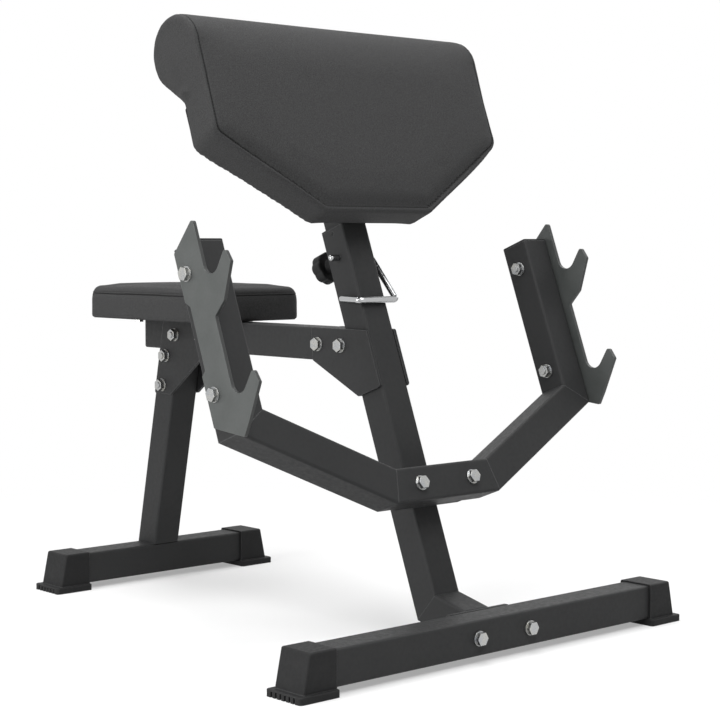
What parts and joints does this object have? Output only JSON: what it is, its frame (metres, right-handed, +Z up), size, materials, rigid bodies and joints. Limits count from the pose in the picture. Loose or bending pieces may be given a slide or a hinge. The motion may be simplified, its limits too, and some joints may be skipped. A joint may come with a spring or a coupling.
{
  "type": "preacher curl bench",
  "caption": "Preacher curl bench: leaning column with a sliding arm pad, a forked bar rack with hook plates, a padded seat on a rear beam and cross feet with plastic caps.",
  "frame": {"origin": "on the floor, midway between the outermost feet across and between the front feet and the seat's rear end along", "axes": "+X across the bench, +Y from the column towards the seat, +Z up"},
  "size_m": [0.756, 0.8855, 0.8951],
  "materials": {
    "powder_black": "fine textured powder coat",
    "hook_grey": "satin grey coat",
    "zinc_steel": "bright zinc plate",
    "chrome_rod": "polished chrome plate",
    "leatherette": "fine grained leatherette over foam",
    "plywood": "raw plywood",
    "black_plastic": "moulded, lightly textured"
  },
  "bodies": {
    "frame": {"clamp_boss": "powder_black", "column": "powder_black", "column_bushing": "black_plastic", "column_foot_flange": "powder_black", "column_foot_stub": "powder_black", "foot_flange_bolts": "zinc_steel", "foot_flange_nuts": "zinc_steel", "foot_flange_washers": "zinc_steel", "front_foot_beam": "powder_black", "front_foot_cap_left": "black_plastic", "front_foot_cap_right": "black_plastic", "front_gusset_bolts": "zinc_steel", "front_gusset_left": "powder_black", "front_gusset_nuts": "zinc_steel", "front_gusset_right": "powder_black", "front_gusset_washers": "zinc_steel", "hook_plate_bolts": "zinc_steel", "hook_plate_left": "hook_grey", "hook_plate_nuts": "zinc_steel", "hook_plate_right": "hook_grey", "hook_plate_washers": "zinc_steel", "rear_foot_beam": "powder_black", "rear_foot_cap_left": "black_plastic", "rear_foot_cap_right": "black_plastic", "rear_gusset_bolts": "zinc_steel", "rear_gusset_left": "powder_black", "rear_gusset_nuts": "zinc_steel", "rear_gusset_right": "powder_black", "rear_gusset_washers": "zinc_steel", "rear_post": "powder_black", "seat_beam": "powder_black", "seat_beam_plug": "black_plastic", "seat_board": "plywood", "seat_bracket": "powder_black", "seat_pad": "leatherette", "seat_screws": "zinc_steel", "yoke_bolts": "zinc_steel", "yoke_cross_tube": "powder_black", "yoke_diagonal_left": "powder_black", "yoke_diagonal_right": "powder_black", "yoke_flange": "powder_black", "yoke_nuts": "zinc_steel", "yoke_plug_left": "black_plastic", "yoke_plug_right": "black_plastic", "yoke_upright_left": "powder_black", "yoke_upright_right": "powder_black", "yoke_washers": "zinc_steel"},
    "pad_carriage": {"inner_post": "powder_black", "inner_post_cap": "black_plastic", "inner_post_shoe": "black_plastic", "pad_bar_lower": "powder_black", "pad_bar_upper": "powder_black", "pad_bar_plugs": "black_plastic", "pad_board": "plywood", "arm_pad": "leatherette", "pad_screws": "zinc_steel"},
    "lock_pin": {"lock_pin": "chrome_rod"},
    "clamp_screw": {"clamp_thrust_pad": "black_plastic"},
    "clamp_knob": {"clamp_knob": "black_plastic", "clamp_stud": "zinc_steel"}
  },
  "joints": [
    {"name": "pad_height", "type": "slide", "parent": "frame", "child": "pad_carriage", "axis": [0, 0.3551, 0.9348], "range_m": [0, 0.12]},
    {"name": "lock_pin_swing", "type": "hinge", "parent": "frame", "child": "lock_pin", "pos_m": [0, -0.11063, 0.55248], "axis": [-1, 0, 0], "range_deg": [0, 90]},
    {"name": "clamp_screw_travel", "type": "slide", "parent": "frame", "child": "clamp_screw", "axis": [0, 0.9348, -0.3551], "range_m": [0, 0.003]},
    {"name": "clamp_knob_turn", "type": "hinge", "parent": "clamp_screw", "child": "clamp_knob", "pos_m": [0, -0.08584, 0.54734], "axis": [0, 0.9348, -0.3551], "range_deg": [0, 720]}
  ],
  "couplings": [
    {"joint": "clamp_knob_turn", "follows": "clamp_screw_travel", "rad_per_m": 4188.8}
  ]
}
